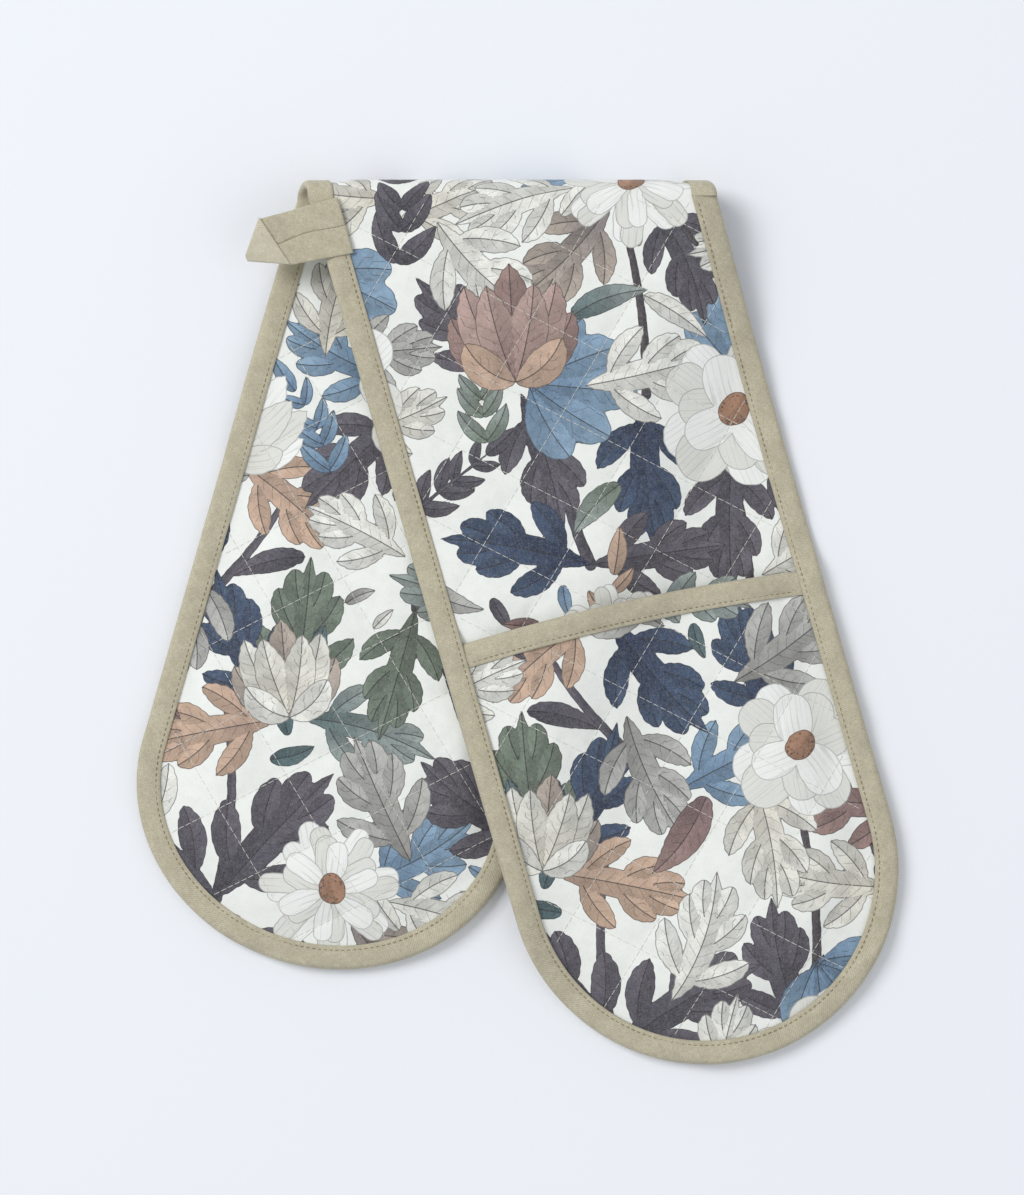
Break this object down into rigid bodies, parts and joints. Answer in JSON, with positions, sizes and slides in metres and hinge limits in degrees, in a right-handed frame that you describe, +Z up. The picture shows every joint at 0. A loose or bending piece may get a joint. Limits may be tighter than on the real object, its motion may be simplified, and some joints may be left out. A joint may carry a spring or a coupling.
{
  "type": "double oven glove",
  "caption": "Quilted cotton strip with a padded hand pocket at each round end, edged in khaki tape, with a hanging loop, folded across its middle.",
  "frame": {"origin": "centre of the lying glove's box, on the surface that it lies on", "axes": "+Y from the round ends towards the fold, +X to the front half's side, +Z up; the front half is on top with its pocket up"},
  "size_m": [0.352, 0.4084, 0.0282],
  "materials": {
    "printed_cotton": "plain-weave cotton, printed all over with leaves and flowers in grey, green, blue and tan on off-white, quilted in diamonds",
    "wadding": "soft undyed cotton wadding",
    "lining": "plain off-white cotton",
    "khaki_twill": "matt cotton twill tape with fine diagonal ribs",
    "thread": "spun sewing thread"
  },
  "bodies": {
    "rear_half": {"fold_back_cover": "printed_cotton", "fold_face_cover": "printed_cotton", "fold_left_binding": "khaki_twill", "fold_right_binding": "khaki_twill", "fold_wadding": "wadding", "rear_back_cover": "printed_cotton", "rear_back_thread": "thread", "rear_edge_binding": "khaki_twill", "rear_face_cover": "printed_cotton", "rear_face_thread": "thread", "rear_hem_thread": "thread", "rear_pocket_cover": "printed_cotton", "rear_pocket_hem": "khaki_twill", "rear_pocket_lining": "lining", "rear_pocket_wadding": "wadding", "rear_wadding": "wadding"},
    "front_half": {"front_back_cover": "printed_cotton", "front_back_thread": "thread", "front_edge_binding": "khaki_twill", "front_face_cover": "printed_cotton", "front_face_thread": "thread", "front_hem_thread": "thread", "front_pocket_cover": "printed_cotton", "front_pocket_hem": "khaki_twill", "front_pocket_lining": "lining", "front_pocket_wadding": "wadding", "front_wadding": "wadding", "hanging_loop_end_far": "khaki_twill", "hanging_loop_end_near_fold": "khaki_twill"},
    "hanging_loop": {"hanging_loop": "khaki_twill"}
  },
  "joints": [
    {"name": "front_fold", "type": "hinge", "parent": "rear_half", "child": "front_half", "pos_m": [-0.00548, 0.19545, 0.0141], "axis": [-1, 0, 0], "range_deg": [0, 178], "deforming": ["fold_back_cover", "fold_face_cover", "fold_left_binding", "fold_right_binding", "fold_wadding"]},
    {"name": "loop_swing", "type": "hinge", "parent": "front_half", "child": "hanging_loop", "pos_m": [-0.09149, 0.1781, 0.02787], "axis": [-0.2754, 0.9605, 0.0391], "range_deg": [0, 150]}
  ]
}
